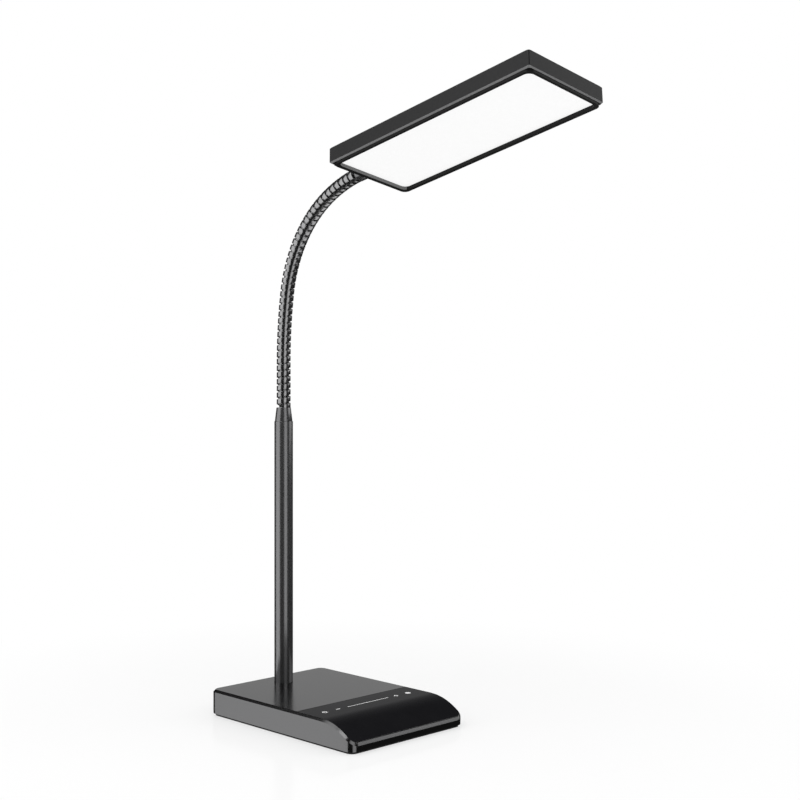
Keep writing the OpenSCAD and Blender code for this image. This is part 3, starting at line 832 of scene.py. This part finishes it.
def on_rim(place, facing):
    """True for the slanted edge at the tray's foot, where the highlight is painted."""
    low, high = rim_facing
    return place.z < face_z + rim_lift + rim_bevel and low < facing.z < high


# The bevel at the tray's foot is painted lighter grey than the housing: a painted highlight.
paint_lit_faces(housing, rim_highlight_paint, on_rim)

# Bezel: a black moulded frame that keeps the lit sheet in the tray and covers the tray's rim.
# It snaps in from below and stands a little proud.
# Its rear bar is wider, because it lies over the neck's clamp. The inner wall of that bar, which
# faces the front, is painted lighter grey: painted light on the black frame.

fit_gap = 0.15 * mm
bezel_out = [head_wall + fit_gap] * 4
flange_out = [side * mm for side in (1.45, 0.65, 1.15, 3.0)]
bezel_in = [side * mm for side in (3.65, 3.65, 3.45, 6.7)]
bezel_edge = 0.2 * mm
face_recess = 2.85 * mm
flange_corner = 5 * mm
opening_corner = 5 * mm
# How far back, and how squarely facing the front, the faces of the bezel's rear inner wall lie
# that get painted light.
lit_wall_reach = 2 * bezel_in[3]
lit_wall_facing = -0.6

bezel_low, bezel_high = face_z + rim_lift / 2, face_z + face_recess
bezel_corner = tray_corner - fit_gap
bezel = head_slab("head_bezel_frame", bezel_out, bezel_low, bezel_high, bezel_corner)
flange = head_slab("flange", flange_out, face_z, face_z + rim_lift - fit_gap, flange_corner)
cut_away(bezel, flange, "UNION")
window_low, window_high = face_z - head_wall, bezel_high + head_wall
window = head_slab("window", bezel_in, window_low, window_high, opening_corner)
cut_away(bezel, window)
soften(bezel, bezel_edge, edge_angle)
stand(bezel, on_head)
smooth(bezel, head_angle, flats=True)
bezel_black = finish(
    "bezel_black", (0.006, 0.006, 0.006), 0.4, grain=2600.0, spread=0.08, bump=0.05, ior=1.2
)
# A lighter grey for the bezel's rear inner wall: painted light, standing in for light falling on
# it.
bezel_wall_light_paint = finish("bezel_wall_light_paint", (0.11, 0.11, 0.11), 0.4, grain=2600.0, spread=0.06)
fit(bezel, bezel_black, "bezel_black", "head", "head_bezel")
# The rear inner wall of the bezel is painted lighter grey: painted light.
paint_lit_faces(bezel, bezel_wall_light_paint, lambda place, facing: place.y > -lit_wall_reach and facing.y < lit_wall_facing)

# Lit sheet: a milky acrylic diffuser behind the bezel, shown switched on.
# Behind it lie the clear light guide, the reflector sheet, the back plate and the LED strips.

sheet_gap = 0.05 * mm
sheet_t = 0.35 * mm
sheet_edge = 0.1 * mm
glow_low, glow_high = 0.79, 0.83
sheet_low = face_z + face_recess + sheet_gap
lit_sheet = head_slab("lit_panel", bezel_out, sheet_low, sheet_low + sheet_t, bezel_corner)
soften(lit_sheet, sheet_edge, edge_angle)
stand(lit_sheet, on_head)
smooth(lit_sheet, head_angle, flats=True)
lit_white = finish("lit_sheet", (0.15, 0.15, 0.15), 0.5, grain=400.0, spread=0.02)
glow = lit_white.node_tree
glow_shader = glow.nodes["Principled BSDF"]
glow_noise = next(node for node in glow.nodes if node.type == "TEX_NOISE")
glow_level = glow.nodes.new("ShaderNodeMapRange")
glow_level.inputs["To Min"].default_value = glow_low
glow_level.inputs["To Max"].default_value = glow_high
glow.links.new(glow_noise.outputs["Fac"], glow_level.inputs["Value"])
glow.links.new(glow_level.outputs["Result"], glow_shader.inputs["Emission Strength"])
glow_shader.inputs["Emission Color"].default_value = (1.0, 1.0, 1.0, 1.0)
fit(lit_sheet, lit_white, "lit_sheet", "head", "diffuser")
dress(finish("clear_sheet", (0.75, 0.8, 0.82), 0.12, grain=200.0), "light_guide")
dress(finish("white_sheet", (0.85, 0.85, 0.85), 0.6, grain=900.0), "reflector_sheet")
dress(finish("strip_white", (0.8, 0.8, 0.76), 0.5, grain=700.0), "led_strips")
dress(finish("led_phosphor", (0.8, 0.6, 0.1), 0.4, grain=1500.0, spread=0.15), "led_chips")

# Studio: a pale glossy table, a white backdrop and four soft boxes: left, right, far and high.
# Metal mirrors the boxes, a part of the backdrop and a lit patch of table in a dark room.
# The camera stands where the photograph was taken, level and a little above the lamp's middle.

camera_place = Vector((-747.82, -833.51, 283.42)) * mm
camera_turn = math.radians(-44.658)
sensor_w = 36
picture_w = 800
focal_px = 1350.05
shift_px = -21.9
camera_data = bpy.data.cameras.new("camera")
camera_data.sensor_width = sensor_w
camera_data.lens = sensor_w * focal_px / picture_w
camera_data.shift_y = shift_px / picture_w
camera = bpy.data.objects.new("camera", camera_data)
camera.location = camera_place
camera.rotation_euler = (math.pi / 2, 0, camera_turn)
bpy.context.collection.objects.link(camera)
bpy.context.scene.camera = camera

table_size = 8
table_colour = (0.92, 0.92, 0.92, 1)
table_rough = 0.12
table_ior = 1.5
table_fade = (0.12, 0.5)
table_fade_from = 0.58


def ramp(tree, source, low, high, top=1.0, bottom=0.0):
    """A smooth change from a bottom to a top level between two values of a source."""
    rise = tree.nodes.new("ShaderNodeMapRange")
    rise.interpolation_type = "SMOOTHSTEP"
    rise.inputs["From Min"].default_value = low
    rise.inputs["From Max"].default_value = high
    rise.inputs["To Min"].default_value = bottom
    rise.inputs["To Max"].default_value = top
    tree.links.new(source, rise.inputs["Value"])
    return rise.outputs["Result"]


def combine(tree, operation, first, second):
    """Puts two values, or a value and a plain number, together."""
    both = tree.nodes.new("ShaderNodeMath")
    both.operation = operation
    tree.links.new(first, both.inputs[0])
    if isinstance(second, float):
        both.inputs[1].default_value = second
    else:
        tree.links.new(second, both.inputs[1])
    return both.outputs["Value"]


choose()
bpy.ops.mesh.primitive_plane_add(size=table_size)
floor = bpy.context.object
floor.name = "table"
floor.visible_glossy = False
floor_white = bpy.data.materials.new("table_white")
floor_white.use_nodes = True
tree = floor_white.node_tree
table = tree.nodes["Principled BSDF"]
table.inputs["Base Color"].default_value = table_colour
table.inputs["Roughness"].default_value = table_rough
table.inputs["IOR"].default_value = table_ior
path = tree.nodes.new("ShaderNodeLightPath")
white = tree.nodes.new("ShaderNodeEmission")
place = tree.nodes.new("ShaderNodeTexCoord")
away = tree.nodes.new("ShaderNodeVectorMath")
away.operation = "LENGTH"
tree.links.new(place.outputs["Object"], away.inputs[0])
fade = ramp(tree, away.outputs["Value"], *table_fade, bottom=table_fade_from)
seen = combine(tree, "MULTIPLY", fade, path.outputs["Is Camera Ray"])
mix = tree.nodes.new("ShaderNodeMixShader")
tree.links.new(seen, mix.inputs["Fac"])
tree.links.new(table.outputs["BSDF"], mix.inputs[1])
tree.links.new(white.outputs["Emission"], mix.inputs[2])
tree.links.new(mix.outputs["Shader"], tree.nodes["Material Output"].inputs["Surface"])
floor.data.materials.append(floor_white)


def soft_box(name, turn, distance, width, low, high, radiance):
    """A flat soft light, turned by degrees from the camera's side of the lamp, facing its axis."""
    data = bpy.data.lights.new(name, "AREA")
    data.shape = "RECTANGLE"
    data.size = width
    data.size_y = high - low
    data.energy = radiance * math.pi * width * (high - low)
    lamp = bpy.data.objects.new(name, data)
    way = camera_turn - math.pi / 2 + math.radians(turn)
    lamp.location = (distance * math.cos(way), distance * math.sin(way), (low + high) / 2)
    lamp.rotation_euler = (math.pi / 2, 0, way + math.pi / 2)
    lamp.visible_camera = False
    bpy.context.collection.objects.link(lamp)


soft_box("soft_box_left", turn=-76, distance=1.2, width=1.35, low=-0.6, high=2.0, radiance=1.4)
soft_box("soft_box_right", turn=30, distance=1.5, width=1.0, low=-2.6, high=1.5, radiance=1.15)
soft_box("soft_box_far", turn=104, distance=3.0, width=2.4, low=0.6, high=3.0, radiance=1.4)
soft_box("soft_box_high", turn=-47, distance=0.75, width=0.5, low=0.9, high=1.9, radiance=2.5)

backdrop_foot = (0.04, 0.14)
backdrop_head = (0.72, 0.24)
backdrop_sides = (0.45, 0.75)
backdrop_left = (0.45, 0.3)
backdrop_level = 0.5
lit_table_way = (0.35, -0.1, -0.93)
lit_table_edge = (0.8, 0.92)
lit_table_level = 1.3
dark_level = 0.035
diffuse_level = 0.85
camera_level = 1.0

world = bpy.data.worlds.new("studio")
bpy.context.scene.world = world
world.use_nodes = True
tree = world.node_tree
sky = tree.nodes["Background"]
ray = tree.nodes.new("ShaderNodeLightPath")
ray_way = tree.nodes.new("ShaderNodeTexCoord").outputs["Generated"]
parts = tree.nodes.new("ShaderNodeSeparateXYZ")
tree.links.new(ray_way, parts.inputs["Vector"])
ray_rise = parts.outputs["Z"]


def facing(direction):
    """How far a ray points along a direction."""
    dot = tree.nodes.new("ShaderNodeVectorMath")
    dot.operation = "DOT_PRODUCT"
    dot.inputs[1].default_value = direction
    tree.links.new(ray_way, dot.inputs[0])
    return dot.outputs["Value"]


def seen_by(kind, level, otherwise):
    """A level for one kind of ray, and another value for the rest."""
    switch = tree.nodes.new("ShaderNodeMix")
    switch.inputs["B"].default_value = level
    tree.links.new(otherwise, switch.inputs["A"])
    tree.links.new(ray.outputs[kind], switch.inputs["Factor"])
    return switch.outputs["Result"]


back = facing((-math.sin(camera_turn), math.cos(camera_turn), 0))
left = facing((-math.cos(camera_turn), -math.sin(camera_turn), 0))
above_foot = ramp(tree, ray_rise, *backdrop_foot)
below_head = ramp(tree, ray_rise, *backdrop_head)
height = combine(tree, "MULTIPLY", above_foot, below_head)
between_sides = ramp(tree, back, *backdrop_sides, top=backdrop_level)
width = combine(tree, "MULTIPLY", between_sides, ramp(tree, left, *backdrop_left))
backdrop = combine(tree, "MULTIPLY", height, width)
lit_table = ramp(tree, facing(lit_table_way), *lit_table_edge, top=lit_table_level)
mirrored = combine(tree, "MAXIMUM", combine(tree, "ADD", backdrop, lit_table), dark_level)
room = seen_by("Is Diffuse Ray", diffuse_level, mirrored)
tree.links.new(seen_by("Is Camera Ray", camera_level, room), sky.inputs["Strength"])
sky.inputs["Color"].default_value = (1, 1, 1, 1)

bpy.context.scene.view_settings.view_transform = "Standard"
